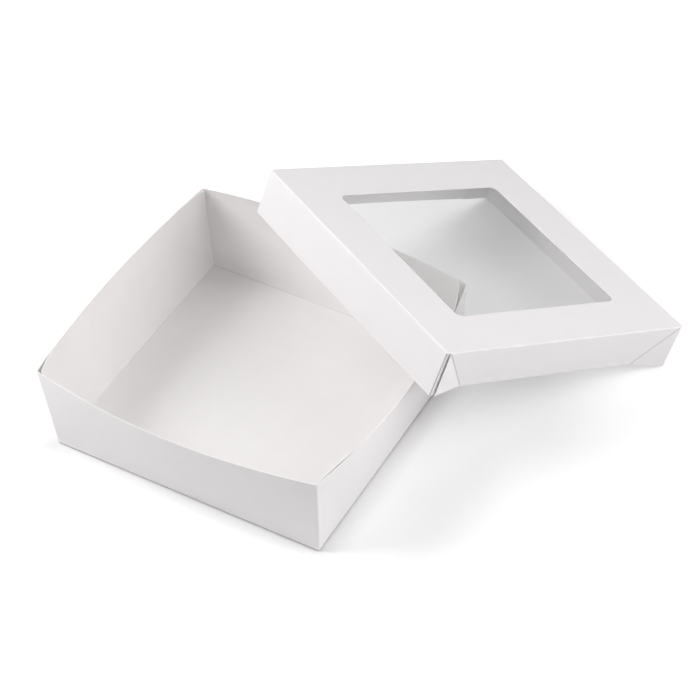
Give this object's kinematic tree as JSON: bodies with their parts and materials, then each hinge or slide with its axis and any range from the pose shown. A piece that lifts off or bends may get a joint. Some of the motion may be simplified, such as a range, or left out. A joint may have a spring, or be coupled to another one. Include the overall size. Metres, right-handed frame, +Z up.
{
  "type": "windowed box",
  "caption": "Square folding carton for food or gifts: an open tray with bowed walls and a separate lid with a large clear window, shown off and leaning on the tray.",
  "frame": {"origin": "middle of the tray's underside, on the table", "axes": "+Z up, -Y towards the tray's front wall, +X towards the tray's right wall; the lid leans on the back wall's rim and falls towards +Y"},
  "size_m": [0.388, 0.4369, 0.1257],
  "materials": {
    "board": "matt white coated paperboard",
    "film": "clear glossy plastic film"
  },
  "bodies": {
    "tray": {"tray_floor": "board", "tray_front_wall": "board", "tray_right_wall": "board", "tray_back_wall": "board", "tray_left_wall": "board", "tray_flap_front_right": "board", "tray_flap_back_right": "board", "tray_flap_back_left": "board", "tray_flap_front_left": "board"},
    "lid": {"lid_top_panel": "board", "window_film": "film", "lid_left_skirt": "board", "lid_right_skirt": "board", "lid_front_skirt": "board", "lid_back_skirt": "board", "lid_triangle_front_left": "board", "lid_triangle_front_right": "board", "lid_triangle_back_left": "board", "lid_triangle_back_right": "board", "lid_flap_front_left": "board", "lid_flap_front_right": "board", "lid_flap_back_left": "board", "lid_flap_back_right": "board"}
  },
  "joints": [
    {"name": "lid_lift", "type": "slide", "parent": "tray", "child": "lid", "axis": [0, 0, 1], "range_m": [0, 0.12]}
  ]
}
